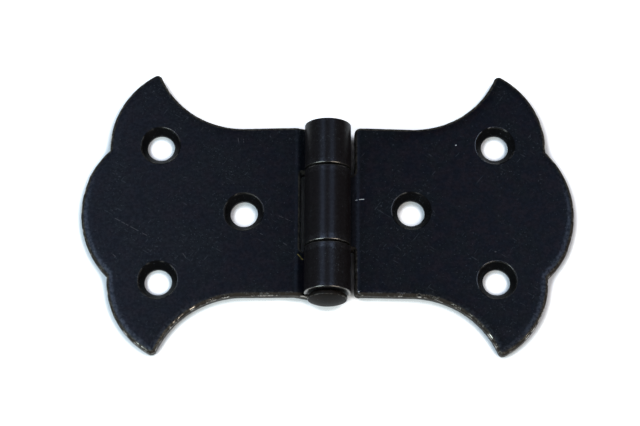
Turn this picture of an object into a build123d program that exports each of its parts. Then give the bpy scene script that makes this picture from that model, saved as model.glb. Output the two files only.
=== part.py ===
from build123d import *
from math import asin, atan2, cos, degrees, hypot, radians, sin
import os

# Butterfly cabinet hinge, lying open on a flat surface with its front faces up.
# Two leaves are stamped from one sheet with the same die, turned end for end, and then swaged
# and curled. The left leaf carries the two outer knuckles, the right leaf the middle one, and a
# headed pin runs through all three.
# Frame: X runs across the leaves, Y along the pin with its head towards -Y, and Z up.
# The origin lies on the surface, straight below the middle of the pin. Lengths are millimetres.

# Sheet and pin
sheet = 1.5
pin_diameter = 3.0
bore_clearance = 0.05
edge_bevel = 0.3

# Leaf outline, measured from the pin's axis
leaf_reach = 32.5
neck_height = 23.4
flare_start = 11.1
flare_radius = 12.1
wing_centre_x = 17.35
wing_centre_y = 9.37
wing_radius = 11.56
lobe_radius = 12.63
tip_radius = 0.65
crotch_radius = 0.3
neck_corner = 0.7

# Step where the end lobe was cut in two strokes of the die
step_angle = 20.5
step_run = 3.0
second_stroke_x = 0.21
second_stroke_y = 0.25
step_ease = 0.8

# Screw holes: two near the wing tips and one near the pin
hole_diameter = 3.6
sink_diameter = 5.2
sink_land = 0.5
outer_hole_x = 22.18
outer_hole_y = 9.39
inner_hole_x = 11.04
pierce_shift = 0.12

# Swage, where the sheet steps down to pass under the pin, and the curl round the pin
swage_start = 4.55
swage_drop = 1.15
swage_angle = 30.0
bend_radius = 0.25
curl_closing = 14.0

# Knuckles along the pin
middle_knuckle = 10.4
knuckle_gap = 0.25
notch_clearance = 0.5
notch_corner = 0.35

# Pin head
head_diameter = 5.2
head_standoff = 0.25
head_rim = 0.6
head_dome = 0.65
head_edge = 0.25
pin_setback = 0.3

# Worked out from the sizes above
bore_radius = pin_diameter / 2 + bore_clearance
knuckle_radius = bore_radius + sheet
outer_bend = bend_radius + sheet
neck_half = neck_height / 2
notch_x = knuckle_radius + notch_clearance
knuckle_joint = middle_knuckle / 2 + knuckle_gap
beyond_wings = wing_centre_y + wing_radius + sheet
quarter_turn = 90.0
curl_turn = 3 * quarter_turn + curl_closing
touching = 1e-4

# Run of the swage: two bends with a straight slope between them
slope = radians(swage_angle)
slope_length = (swage_drop - (bend_radius + outer_bend) * (1 - cos(slope))) / sin(slope)
strap_start = swage_start - (bend_radius + outer_bend) * sin(slope) - slope_length * cos(slope)

# At rest each leaf hangs a little from the pin, so that its strap and the bevel at its outer edge
# both touch the surface. That gives the leaf's slant and the height of the pin's axis.
rest_run = leaf_reach - edge_bevel - strap_start
rest_rise = swage_drop - outer_bend
rest_slant = asin(outer_bend / hypot(rest_run, rest_rise)) + atan2(rest_rise, rest_run)
droop = degrees(rest_slant)
pin_height = (
    outer_bend
    + (knuckle_radius - outer_bend) * cos(rest_slant)
    + strap_start * sin(rest_slant)
)
pin_axis = Axis((0, 0, pin_height), (0, 1, 0))


def crossing(centre_a, radius_a, centre_b, radius_b, side):
    """Point where two circles cross, on the left (1) or the right (-1) of the line from a to b."""
    line = centre_b - centre_a
    along = (radius_a**2 - radius_b**2 + line.length**2) / (2 * line.length)
    across = (radius_a**2 - along**2) ** 0.5
    unit = line.normalized()
    return centre_a + unit * along + Vector(-unit.Y, unit.X) * across * side


def short_arc(start, end, centre):
    """The shorter arc from start to end about a centre."""
    radius = (start - centre).length
    middle = centre + ((start + end) / 2 - centre).normalized() * radius
    return ThreePointArc(start, middle, end)


def mirrored(point):
    """The same point on the other side of the leaf's centre line."""
    return Vector(point.X, -point.Y)


def on_circle(centre, radius, angle):
    """Point on a circle, by its angle in degrees from the X axis."""
    return centre + Vector(cos(radians(angle)), sin(radians(angle))) * radius


def leaf_outline():
    """Plan of one leaf from the neck outwards: flared wings, crotches and the end lobe."""
    flare_centre = Vector(flare_start, neck_half + flare_radius)
    lobe_centre = Vector(leaf_reach - lobe_radius, 0)
    stroke_centre = lobe_centre + Vector(second_stroke_x, second_stroke_y)
    wing_centre = Vector(wing_centre_x, wing_centre_y)
    flare_foot = Vector(flare_start, neck_half)
    tip = crossing(flare_centre, flare_radius, wing_centre, wing_radius, 1)
    upper_crotch = crossing(lobe_centre, lobe_radius, wing_centre, wing_radius, -1)
    lower_crotch = crossing(stroke_centre, lobe_radius, mirrored(wing_centre), wing_radius, 1)
    step_inner = on_circle(lobe_centre, lobe_radius, -step_angle)
    step_outer = on_circle(stroke_centre, lobe_radius, -step_angle - step_run)
    neck_top = Vector(0, neck_half)
    edges = [
        Line(mirrored(neck_top), mirrored(flare_foot)),
        short_arc(mirrored(flare_foot), mirrored(tip), mirrored(flare_centre)),
        short_arc(mirrored(tip), lower_crotch, mirrored(wing_centre)),
        short_arc(lower_crotch, step_outer, stroke_centre),
        Line(step_outer, step_inner),
        short_arc(step_inner, upper_crotch, lobe_centre),
        short_arc(upper_crotch, tip, wing_centre),
        short_arc(tip, flare_foot, flare_centre),
        Line(flare_foot, neck_top),
        Line(neck_top, mirrored(neck_top)),
    ]
    outline = make_face(edges)
    corners = (
        (tip_radius, [tip, mirrored(tip)]),
        (crotch_radius, [upper_crotch, lower_crotch]),
        (step_ease, [step_inner, step_outer]),
    )
    for radius, points in corners:
        for point in points:
            outline = fillet(outline.vertices().sort_by_distance(point)[0], radius)
    return outline


def rectangle(x_low, x_high, y_low, y_high):
    """Flat rectangle between two X and two Y values."""
    centre = Pos((x_low + x_high) / 2, (y_low + y_high) / 2)
    return centre * Rectangle(x_high - x_low, y_high - y_low)


def leaf_plan(notches):
    """Plan of one leaf with its strap, less the spaces for the other leaf's knuckles."""
    inner_edge = -knuckle_radius - sheet
    plan = leaf_outline() + rectangle(inner_edge, flare_start, -neck_half, neck_half)
    for y_low, y_high in notches:
        opening = rectangle(inner_edge, notch_x, y_low, y_high)
        opening = fillet(opening.vertices().group_by(Axis.X)[-1], notch_corner)
        plan -= opening
    for corner in (Vector(notch_x, neck_half), Vector(notch_x, -neck_half)):
        nearest = plan.vertices().sort_by_distance(corner)[0]
        if (Vector(nearest) - corner).length < touching:
            plan = fillet(nearest, neck_corner)
    return plan


def sheet_face(depth):
    """Path of the sheet across the pin, at a depth of 0 for the back and the sheet for the front.

    It runs inwards along the plate, down the swage, under the pin and round it. A bend about a
    centre behind the sheet gains radius with depth, and one about a centre before it loses it.
    """
    level = swage_drop + depth
    plate = Line((leaf_reach + sheet, level), (swage_start, level))
    dip = JernArc(plate @ 1, plate % 1, bend_radius + depth, swage_angle)
    ramp = PolarLine(dip @ 1, slope_length, direction=dip % 1)
    lift = JernArc(ramp @ 1, ramp % 1, outer_bend - depth, -swage_angle)
    strap = Line(lift @ 1, (0, depth))
    curl = JernArc(strap @ 1, strap % 1, knuckle_radius - depth, -curl_turn)
    return [plate, dip, ramp, lift, strap, curl]


def leaf_section():
    """Section of the sheet across the pin, between its back and its front face."""
    back = sheet_face(0)
    front = sheet_face(sheet)
    ends = [Line(back[0] @ 0, front[0] @ 0), Line(back[-1] @ 1, front[-1] @ 1)]
    return Plane.XZ * make_face(back + front + ends)


def screw_hole(x, y):
    """Countersunk hole through the plate, wide at the front face."""
    sink_start = swage_drop + sink_land
    front = swage_drop + sheet
    land_radius = hole_diameter / 2
    mouth_radius = sink_diameter / 2
    flank = (mouth_radius - land_radius) / (front - sink_start)
    profile = Polyline(
        (0, 0),
        (land_radius, 0),
        (land_radius, sink_start),
        (mouth_radius + flank * sheet, front + sheet),
        (0, front + sheet),
        close=True,
    )
    return Pos(x, y) * revolve(Plane.XZ * make_face(profile), Axis.Z)


def cut_edges(body):
    """Edges where the die cut the back face, without bend lines, the closing end and the holes."""
    back_path = Plane.XZ * Wire(sheet_face(0))
    found = []
    for edge in body.edges():
        places = [edge @ 0, edge @ 0.5, edge @ 1]
        on_back = all(
            back_path.distance_to(Vector(place.X, 0, place.Z)) < touching for place in places
        )
        bend_line = False
        if edge.geom_type == GeomType.LINE and edge.bounding_box().size.X < touching:
            bend_line = places[1].X < swage_start + touching and abs(places[1].X - notch_x) > touching
        if on_back and not bend_line and not edge.is_closed:
            found.append(edge)
    return found


def leaf(notches):
    """One leaf lying level, reaching out along +X, curled about the pin's axis."""
    tall = 2 * knuckle_radius + sheet
    body = extrude(leaf_section(), beyond_wings, both=True) & extrude(leaf_plan(notches), tall)
    body = chamfer(cut_edges(body), edge_bevel)
    body -= screw_hole(inner_hole_x, pierce_shift)
    for side in (1, -1):
        body -= screw_hole(outer_hole_x, side * outer_hole_y + pierce_shift)
    return body


def hang(level_leaf):
    """Lift a level leaf to the pin and let it droop until it rests on the surface."""
    raised = Pos(0, 0, pin_height - knuckle_radius) * level_leaf
    return raised.rotate(pin_axis, droop)


def right_leaf():
    """Leaf with the middle knuckle: notched at both ends of the neck."""
    past = neck_half + sheet
    half = middle_knuckle / 2
    return hang(leaf([(half, past), (-past, -half)]))


def left_leaf():
    """Leaf with the two outer knuckles: notched in the middle of the neck, turned end for end."""
    return hang(leaf([(-knuckle_joint, knuckle_joint)])).rotate(Axis.Z, 2 * quarter_turn)


def hinge_pin():
    """Turned pin with a low domed head, drawn from its plain end to the crown of the head."""
    radius = pin_diameter / 2
    rim_radius = head_diameter / 2
    head_back = -neck_half - head_standoff
    head_front = head_back - head_rim
    crown = head_front - head_dome
    plain_end = neck_half - pin_setback
    crown_radius = (rim_radius**2 + head_dome**2) / (2 * head_dome)
    crown_centre = crown + crown_radius
    half_rim = rim_radius / 2
    crown_middle = crown_centre - (crown_radius**2 - half_rim**2) ** 0.5
    profile = make_face(
        [
            Line((0, plain_end), (radius, plain_end)),
            Line((radius, plain_end), (radius, head_back)),
            Line((radius, head_back), (rim_radius, head_back)),
            Line((rim_radius, head_back), (rim_radius, head_front)),
            ThreePointArc((rim_radius, head_front), (half_rim, crown_middle), (0, crown)),
            Line((0, crown), (0, plain_end)),
        ]
    )
    edge_points = [(rim_radius, head_back), (rim_radius, head_front), (radius, plain_end)]
    for point in edge_points:
        profile = fillet(profile.vertices().sort_by_distance(point)[0], head_edge)
    return Pos(0, 0, pin_height) * revolve(profile, Axis.Y)


os.makedirs("parts", exist_ok=True)
nodes = {"left_leaf": left_leaf(), "right_leaf": right_leaf(), "hinge_pin": hinge_pin()}
for name, solid in nodes.items():
    export_step(solid, f"parts/{name}.step")
    print(name, "volume", round(solid.volume, 2), "solids", len(solid.solids()))
print("droop", round(droop, 3), "pin height", round(pin_height, 4))
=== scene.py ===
# %% [markdown]
# # A butterfly cabinet hinge in blackened steel
#
# The hinge lies open on a pale surface. It is two stamped leaves and one headed pin, and each
# piece is rebuilt here with the small shapes that make pressed steel look real: a rolled edge on
# one side of the sheet, a sharp sheared wall on the other, countersinks with a thin bright rim,
# and knuckles that are the same sheet curled round the pin.
#
# The physics model is loaded first and is never moved. Everything below is fitted to it.

# %% Load the hinge as it was engineered
from math import asin, atan2, ceil, cos, degrees, hypot, pi, radians, sin, tan

import bpy
import numpy as np
from mathutils import Matrix, Vector
from mathutils.geometry import delaunay_2d_cdt


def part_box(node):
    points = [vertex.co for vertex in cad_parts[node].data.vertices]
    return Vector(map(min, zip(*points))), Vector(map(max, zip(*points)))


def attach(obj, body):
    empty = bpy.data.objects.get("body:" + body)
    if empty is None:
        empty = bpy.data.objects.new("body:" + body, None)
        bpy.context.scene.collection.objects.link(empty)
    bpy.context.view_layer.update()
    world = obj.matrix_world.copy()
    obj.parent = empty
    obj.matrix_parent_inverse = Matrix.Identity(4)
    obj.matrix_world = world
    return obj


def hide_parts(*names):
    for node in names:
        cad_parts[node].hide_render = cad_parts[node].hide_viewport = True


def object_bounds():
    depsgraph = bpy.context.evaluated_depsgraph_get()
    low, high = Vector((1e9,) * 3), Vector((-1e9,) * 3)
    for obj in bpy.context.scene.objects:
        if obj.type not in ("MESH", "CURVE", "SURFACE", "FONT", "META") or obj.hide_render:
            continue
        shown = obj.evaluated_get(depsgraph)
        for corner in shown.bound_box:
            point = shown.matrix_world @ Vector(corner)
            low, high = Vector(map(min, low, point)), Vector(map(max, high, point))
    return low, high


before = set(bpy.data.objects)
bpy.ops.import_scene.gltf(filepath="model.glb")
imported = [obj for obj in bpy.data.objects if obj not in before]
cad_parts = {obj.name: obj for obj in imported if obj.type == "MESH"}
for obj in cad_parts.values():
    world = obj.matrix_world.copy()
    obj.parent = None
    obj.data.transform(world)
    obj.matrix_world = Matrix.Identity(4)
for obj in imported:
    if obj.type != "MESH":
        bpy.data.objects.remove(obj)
engineered_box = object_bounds()
mm = 0.001
box_in_mm = [[round(value / mm, 3) for value in corner] for corner in engineered_box]
print("engineered box in mm:", box_in_mm)

# %% [markdown]
# ## Camera
#
# The picture was taken from almost straight above, 20 degrees towards the pin's head. A long lens
# far away keeps both leaves the same size. The camera is turned a third of a degree about its own
# axis, because the hinge doesn't lie quite square in the picture.

# %% Camera
camera_tilt = radians(20.0)
camera_roll = radians(0.306)
camera_distance = 404.1 * mm
camera_aim = Vector((-1.0, 0.56, 0.0)) * mm
camera_lens = 172.1


def add_to_scene(name, data):
    """A new object that is part of the scene."""
    thing = bpy.data.objects.new(name, data)
    bpy.context.scene.collection.objects.link(thing)
    return thing


camera_data = bpy.data.cameras.new("camera")
camera_data.lens = camera_lens
camera_data.clip_start = 10 * mm
camera = add_to_scene("camera", camera_data)
camera_turn = Matrix.Rotation(camera_tilt, 4, "X") @ Matrix.Rotation(camera_roll, 4, "Z")
camera_arm = Matrix.Translation(Vector((0, 0, camera_distance)))
camera.matrix_world = Matrix.Translation(camera_aim) @ Matrix.Rotation(camera_tilt, 4, "X") @ camera_arm
camera.rotation_euler = camera_turn.to_euler()
bpy.context.scene.camera = camera
bpy.context.scene.view_settings.view_transform = "Standard"
print("camera stands at", [round(value / mm, 1) for value in camera.location], "mm")

# %% [markdown]
# ## Small helpers for nodes
#
# Geometry trees and shader trees both get a lot of arithmetic. `math_node` adds one Math node and
# wires what it is given: a number is typed into the socket, and another node's output is linked.
# `maths` gives the same helper for one tree under a short name.


# %% Node helpers
def feed(tree, socket, value):
    """Link a node's output to a socket, or type a plain number or colour into it."""
    if isinstance(value, bpy.types.NodeSocket):
        tree.links.new(value, socket)
    else:
        socket.default_value = value


def math_node(tree, operation, *values, clamp=False):
    """One Math node. Returns its output."""
    node = tree.nodes.new("ShaderNodeMath")
    node.operation = operation
    node.use_clamp = clamp
    for socket, value in zip(node.inputs, values):
        feed(tree, socket, value)
    return node.outputs[0]


def maths(tree):
    """The helper math_node, kept to one tree."""
    return lambda operation, *values, **options: math_node(tree, operation, *values, **options)


def ease(tree, value, low, high, start=0.0, end=1.0):
    """A value eased from start to end while it goes from low to high."""
    node = tree.nodes.new("ShaderNodeMapRange")
    node.interpolation_type = "SMOOTHSTEP"
    for name, number in (
        ("Value", value), ("From Min", low), ("From Max", high), ("To Min", start), ("To Max", end)
    ):
        feed(tree, node.inputs[name], number)
    return node.outputs["Result"]


def mix_colour(tree, amount, first, second):
    """Blend of two colours."""
    node = tree.nodes.new("ShaderNodeMix")
    node.data_type = "RGBA"
    feed(tree, node.inputs["Factor"], amount)
    feed(tree, node.inputs["A"], first)
    feed(tree, node.inputs["B"], second)
    return node.outputs["Result"]


def object_place(tree):
    """Position on the piece itself."""
    return tree.nodes.new("ShaderNodeTexCoord").outputs["Object"]


def declare(tree, in_out, kind, *names, **values):
    """Give a tree inputs or outputs of one kind. An underscore in a name stands for a space."""
    for name in (*names, *values):
        socket = tree.interface.new_socket(
            name.replace("_", " "), in_out=in_out, socket_type="NodeSocket" + kind
        )
        if name in values:
            socket.default_value = values[name]


def split_xyz(tree, vector):
    """The three parts of a position."""
    node = tree.nodes.new("ShaderNodeSeparateXYZ")
    tree.links.new(vector, node.inputs[0])
    return node.outputs


def join_xyz(tree, x, y, z):
    """A position from its three parts."""
    node = tree.nodes.new("ShaderNodeCombineXYZ")
    for socket, value in zip(node.inputs, (x, y, z)):
        feed(tree, socket, value)
    return node.outputs[0]


# %% [markdown]
# ## Floor and light
#
# A pale floor under soft light. Seen by the camera, and by the gloss on the steel, the floor
# glows as well, so that it comes out white however dim the lamps are. The glow fades where the
# hinge covers the floor, as real light would, so that the slits beside the knuckles stay dark and
# a soft shadow hugs the outline, wider at the two ends. The steel sees the floor as a sheet of
# paper that ends a little beyond the hinge, because the flanks of the knuckles would mirror a wide
# white floor as two bright bands. The room above is left dim: blackened steel looks black because
# it mirrors a dark room. Seen from here, the leaves can only mirror what stands a little beyond
# the hinge, so the two main lamps stand left and right on the near side, the left one nearer. Two
# faint blue boxes on the far side draw the two streaks along the knuckles.

# %% Floor
floor_side = 1.5
floor_white = (0.82, 0.82, 0.82, 1.0)
floor_dim = (0.10, 0.10, 0.10, 1.0)
paper_near, paper_far = 34 * mm, 60 * mm
floor_glow = 0.80
glow_in_gloss = 0.5
shade_reach = 2 * mm
shade_low, shade_high, shade_high_ends = 0.565, 0.72, 0.86
ends_near, ends_far = 20 * mm, 30 * mm

floor_mesh = bpy.data.meshes.new("floor")
floor_corners = ((-1, -1), (1, -1), (1, 1), (-1, 1))
floor_mesh.from_pydata(
    [(x * floor_side / 2, y * floor_side / 2, 0) for x, y in floor_corners], [], [(0, 1, 2, 3)]
)
floor = add_to_scene("floor", floor_mesh)

floor_paint = bpy.data.materials.new("pale_floor")
floor_paint.use_nodes = True
tree = floor_paint.node_tree
tree.nodes.clear()
m = maths(tree)
matt = tree.nodes.new("ShaderNodeBsdfDiffuse")
ray = tree.nodes.new("ShaderNodeLightPath")
away = tree.nodes.new("ShaderNodeVectorMath")
away.operation = "LENGTH"
spot = object_place(tree)
tree.links.new(spot, away.inputs[0])
beyond = ease(tree, away.outputs["Value"], paper_near, paper_far)
gloss = m("MAXIMUM", ray.outputs["Is Glossy Ray"], ray.outputs["Is Transmission Ray"])
dim = m("MULTIPLY", gloss, beyond)
feed(tree, matt.inputs["Color"], mix_colour(tree, dim, floor_white, floor_dim))
gloss = m("MULTIPLY", m("SUBTRACT", gloss, dim), glow_in_gloss)
seen = m("MAXIMUM", ray.outputs["Is Camera Ray"], gloss)
cover = tree.nodes.new("ShaderNodeAmbientOcclusion")
cover.inputs["Distance"].default_value = shade_reach
aside = m("ABSOLUTE", split_xyz(tree, spot)["X"])
full = ease(tree, aside, ends_near, ends_far, shade_high, shade_high_ends)
open_sky = ease(tree, cover.outputs["AO"], shade_low, full, 0.0, floor_glow)
glow = tree.nodes.new("ShaderNodeEmission")
feed(tree, glow.inputs["Strength"], m("MULTIPLY", seen, open_sky))
both = tree.nodes.new("ShaderNodeAddShader")
tree.links.new(matt.outputs[0], both.inputs[0])
tree.links.new(glow.outputs[0], both.inputs[1])
output = tree.nodes.new("ShaderNodeOutputMaterial")
tree.links.new(both.outputs[0], output.inputs["Surface"])
floor_mesh.materials.append(floor_paint)
print("floor is", floor_side, "m wide and glows with", floor_glow)

# %% Lamps and room
room_colour = (0.06, 0.065, 0.075, 1.0)
far, near = 0.5, 0.25
cool_white = (0.74, 0.93, 1.0)
warm_white = (1.0, 0.94, 0.87)
sky_blue = (0.47, 0.64, 1.0)
# Each lamp is its name, direction, width, length, power in watts, colour and distance.
lamps = (
    ("left_streak", (-0.41, 0.17, 0.88), 0.14, 0.27, 0.42, sky_blue, far),
    ("right_streak", (0.33, 0.25, 0.88), 0.16, 0.18, 0.27, sky_blue, far),
    ("left_box", (-0.55, -0.50, 0.67), 0.15, 0.15, 0.48, cool_white, near),
    ("right_box", (0.55, -0.50, 0.67), 0.30, 0.30, 1.35, warm_white, far),
)


def soft_box(name, direction, width, length, power, colour, distance):
    """A rectangular lamp that faces the hinge from a direction, with its length along Y."""
    lamp = bpy.data.lights.new(name, "AREA")
    lamp.shape = "RECTANGLE"
    lamp.size = width
    lamp.size_y = length
    lamp.energy = power
    lamp.color = colour
    stand = add_to_scene(name, lamp)
    outward = Vector(direction).normalized()
    across = Vector((0, 1, 0)).cross(outward).normalized()
    upward = outward.cross(across)
    turn = Matrix((across, upward, outward)).transposed().to_4x4()
    stand.matrix_world = Matrix.Translation(outward * distance) @ turn


for lamp in lamps:
    soft_box(*lamp)

room = bpy.data.worlds.new("room")
room.use_nodes = True
room.node_tree.nodes["Background"].inputs["Color"].default_value = room_colour
bpy.context.scene.world = room
print("lamps:", *(lamp[0] for lamp in lamps))

# %% [markdown]
# ## The leaf's sizes
#
# One die stamped both leaves. These are the sizes of that die and of the press tools that swaged
# and curled the sheet afterwards, in millimetres. A leaf is first drawn flat, reaching out along
# +X from the pin's axis, and it is bent to shape by a later cell.

# %% Sizes of the sheet and of the die
sheet = 1.5
leaf_reach = 32.5
neck_half = 11.7
flare_start = 11.1
flare_radius = 12.1
wing_x = 17.35
wing_y = 9.37
wing_radius = 11.56
lobe_radius = 12.63
tip_radius = 0.65
crotch_radius = 0.3
neck_corner = 0.7
step_angle = 20.5
step_run = 3.0
second_stroke = (0.21, 0.25)

# %% Sizes of the holes, the swage and the curl
hole_radius = 1.8
sink_radius = 2.6
sink_land = 0.5
outer_hole_x = 22.18
outer_hole_y = 9.39
inner_hole_x = 11.04
pierce_shift = 0.12

pin_radius = 1.5
knuckle_radius = 3.05
bend_radius = 0.25
outer_bend = bend_radius + sheet
swage_start = 4.55
swage_drop = 1.15
slope = radians(30.0)
curl_turn = radians(284.0)
middle_knuckle = 5.2
knuckle_joint = 5.45
notch_x = 3.55
notch_corner = 0.35
closing_corner = 0.55

# %% What follows from them
slope_length = (swage_drop - (bend_radius + outer_bend) * (1 - cos(slope))) / sin(slope)
strap_start = swage_start - (bend_radius + outer_bend) * sin(slope) - slope_length * cos(slope)
curl_middle = knuckle_radius - sheet / 2
closing_x = -curl_middle * curl_turn

# %% Size of the cut edge, from the back face to the front face
edge_roll = 0.3
curled_roll = 0.12
shear_burr = 0.30
rest_run = leaf_reach - edge_roll - strap_start
rest_rise = swage_drop + edge_roll - outer_bend
droop = asin((outer_bend - edge_roll) / hypot(rest_run, rest_rise)) + atan2(rest_rise, rest_run)
pin_height = outer_bend + (knuckle_radius - outer_bend) * cos(droop) + strap_start * sin(droop)
print("the pin's axis is", round(pin_height, 3), "mm up")
print("a leaf droops by", round(degrees(droop), 2), "degrees")

# %% [markdown]
# ## The outline of the blank
#
# The plan is a chain of arcs: the flare of the neck, the wing, the end lobe, and back. Each sample
# keeps the direction into the metal as well, because every ring of the cut edge is the same
# outline moved in by a little. Where two arcs meet, the corner is rounded by a small arc that
# touches both, whose centre is where the two circles, grown or shrunk by that small radius, cross.

# %% Helpers that sample arcs and lines
arc_step = 0.3
corner_step = radians(12.0)
tiny = 1e-6


def spokes_at(angles):
    """Unit directions at the given angles, one row for each."""
    return np.stack([np.cos(angles), np.sin(angles)], axis=1)


def arc(centre, radius, start, turn):
    """Samples of an arc with their inward directions, running along the outline."""
    count = max(2, ceil(abs(turn) * radius / arc_step), ceil(abs(turn) / corner_step))
    spoke = spokes_at(start + turn * np.linspace(0, 1, count + 1))
    return np.hstack([np.asarray(centre) + radius * spoke, -np.sign(turn) * spoke])


def crossing(centre_a, radius_a, centre_b, radius_b, side):
    """Point where two circles cross, left (1) or right (-1) of the line from a to b."""
    centre_a, centre_b = np.asarray(centre_a), np.asarray(centre_b)
    line = centre_b - centre_a
    length = np.hypot(*line)
    along = (radius_a**2 - radius_b**2 + length**2) / (2 * length)
    across = (radius_a**2 - along**2) ** 0.5
    unit = line / length
    return centre_a + unit * along + np.array([-unit[1], unit[0]]) * across * side


def bearing(centre, point):
    """Angle of a point seen from a centre."""
    return atan2(point[1] - centre[1], point[0] - centre[0])


def arc_between(centre, radius, start_point, end_point, way):
    """Arc about a centre, anticlockwise (1) or clockwise (-1), between two bearings."""
    start = bearing(centre, start_point)
    turn = (bearing(centre, end_point) - start) * way % (2 * pi) * way
    return arc(centre, radius, start, turn)


# %% The wings and the end lobe
def end_lobe(first, last):
    """The end lobe between two points, cut in two strokes that don't quite agree."""
    centre = np.array([leaf_reach - lobe_radius, 0.0])
    start, end = bearing(centre, first), bearing(centre, last)
    count = ceil(2 * (end - start) * lobe_radius / arc_step)
    angles = np.linspace(start, end, count + 1)
    share = np.clip((-radians(step_angle) - angles) / radians(step_run), 0, 1)
    share = share * share * (3 - 2 * share)
    spoke = spokes_at(angles)
    ahead = spoke @ np.array(second_stroke)
    aside = spoke @ np.array([-second_stroke[1], second_stroke[0]])
    second_reach = ahead + np.sqrt(lobe_radius**2 - aside**2)
    reach = lobe_radius + share * (second_reach - lobe_radius)
    points = centre + reach[:, None] * spoke
    along = np.gradient(points, axis=0)
    along /= np.linalg.norm(along, axis=1)[:, None]
    return np.hstack([points, np.stack([-along[:, 1], along[:, 0]], axis=1)])


def wings_and_lobe():
    """Outline from the foot of the lower flare round to the foot of the upper one."""
    lobe_centre = (leaf_reach - lobe_radius, 0.0)
    stroke_centre = (lobe_centre[0] + second_stroke[0], second_stroke[1])
    chain = []
    for side in (-1, 1):
        flare = (flare_start, side * (neck_half + flare_radius))
        wing = (wing_x, side * wing_y)
        lobe = stroke_centre if side < 0 else lobe_centre
        tip = crossing(flare, flare_radius + tip_radius, wing, wing_radius - tip_radius, side)
        crotch = crossing(lobe, lobe_radius + crotch_radius, wing, wing_radius + crotch_radius, -side)
        foot = (flare_start, side * neck_half)
        wing_side = 2 * tip - wing
        bends = [
            (flare, flare_radius, foot, tip, -1),
            (tip, tip_radius, flare, wing_side, 1),
            (wing, wing_radius, tip, crotch, 1),
            (crotch, crotch_radius, wing, lobe, -1),
        ]
        if side > 0:
            bends = [(*bend[:2], bend[3], bend[2], bend[4]) for bend in bends[::-1]]
        chain.append([arc_between(*bend) for bend in bends])
    lower, upper = chain
    lobe = end_lobe(lower[-1][-1, :2], upper[0][0, :2])
    return lower + [lobe] + upper


# %% [markdown]
# ## The strap and its tongues
#
# Inwards of the neck the sheet is notched for the other leaf's knuckles, and what is left runs on
# as tongues that will be curled. Their long sides are sampled at the same X stations as the inside
# of the sheet, close together where it will bend and far apart where it stays flat.

# %% Stations across the bends
degrees_apart = 4
swage_steps = 24
curl_stations = np.linspace(closing_x, 0, ceil(degrees(curl_turn) / degrees_apart) + 1)
swage_stations = np.linspace(strap_start, swage_start, swage_steps + 1)
stations = np.concatenate([curl_stations, [strap_start / 2], swage_stations])
station_margin = 0.05
print(len(stations), "stations from", round(stations[0], 2), "to", round(stations[-1], 2), "mm")


# %% The neck, the notches and the tongues
def square_path(corners):
    """Outline through right-angled corners given as (x, y, radius), from the first to the last."""
    chain = []
    points = [np.array(corner[:2], float) for corner in corners]
    here = points[0]
    for index in range(1, len(points)):
        ahead = points[index] - points[index - 1]
        ahead /= np.hypot(*ahead)
        radius = corners[index][2]
        end = points[index] - ahead * radius
        inward = np.array([-ahead[1], ahead[0]])
        stops = [here]
        if abs(ahead[0]) > abs(ahead[1]):
            low, high = sorted((here[0], end[0]))
            inside = stations[(stations > low + station_margin) & (stations < high - station_margin)]
            inside = sorted(inside, reverse=bool(ahead[0] < 0))
            stops += [np.array([x, here[1]]) for x in inside]
        stops.append(end)
        chain.append(np.array([[*stop, *inward] for stop in stops]))
        if radius > 0:
            turning = points[index + 1] - points[index]
            turning /= np.hypot(*turning)
            way = 1 if ahead[0] * turning[1] - ahead[1] * turning[0] > 0 else -1
            centre = end + turning * radius
            chain.append(arc(centre, radius, bearing(centre, end), way * pi / 2))
            here = points[index] + turning * radius
        else:
            here = points[index]
    return chain


def tongue_corners(tongues):
    """Corners of the neck from the upper flare down to the lower one, round each tongue."""
    corners = [(flare_start, neck_half, 0)]
    for high, low in tongues:
        if high < neck_half:
            corners.append((notch_x, high, notch_corner))
        corners += [(closing_x, high, closing_corner), (closing_x, low, closing_corner)]
        if low > -neck_half:
            corners.append((notch_x, low, notch_corner))
    if tongues[0][0] < neck_half:
        corners.insert(1, (notch_x, neck_half, neck_corner))
        corners.append((notch_x, -neck_half, neck_corner))
    corners.append((flare_start, -neck_half, 0))
    return corners


def blank_outline(tongues):
    """Closed outline of one blank, without repeated points."""
    samples = np.vstack(wings_and_lobe() + square_path(tongue_corners(tongues)))
    gap = np.linalg.norm(samples[:, :2] - np.roll(samples[:, :2], 1, axis=0), axis=1)
    return samples[gap > tiny]


right_tongues = [(middle_knuckle, -middle_knuckle)]
left_tongues = [(neck_half, knuckle_joint), (-knuckle_joint, -neck_half)]
for name, tongues in (("right", right_tongues), ("left", left_tongues)):
    print(name, "blank outline has", len(blank_outline(tongues)), "points")

# %% [markdown]
# ## The blank as a mesh
#
# The edge of the sheet is a stack of rings: a rolled corner on the back, the sheared wall, and a
# corner worn round at the front, then a last ring on each face that keeps the shading flat beyond
# it. The roll is tighter on the curls, where the die has squeezed it. The front also sinks a
# little towards the outline, as sheet does where it is sheared. Each hole is a stack of rings in
# the same way. The two faces between the rings are filled by a constrained Delaunay
# triangulation, with extra points along the stations so that the face can bend, and near the edges
# so that distances from them can be painted.
#
# Each point remembers how far it is from the outline and from the nearest hole, whether it lies on
# a sheared wall, in a countersink, on the front or beside the notch, and how far it is curled. The
# finishes read those numbers.

# %% Profiles of the edge and of the holes
roll_steps = 6
burr_steps = 4
support = 0.12
land_radius = 0.05
rim_radius = 0.06
front_sag = 0.20
front_sag_width = 1.4
front_share = 0.8


def quarter(count):
    """Angles of a quarter turn in equal steps."""
    return np.linspace(0, pi / 2, count + 1)


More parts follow.
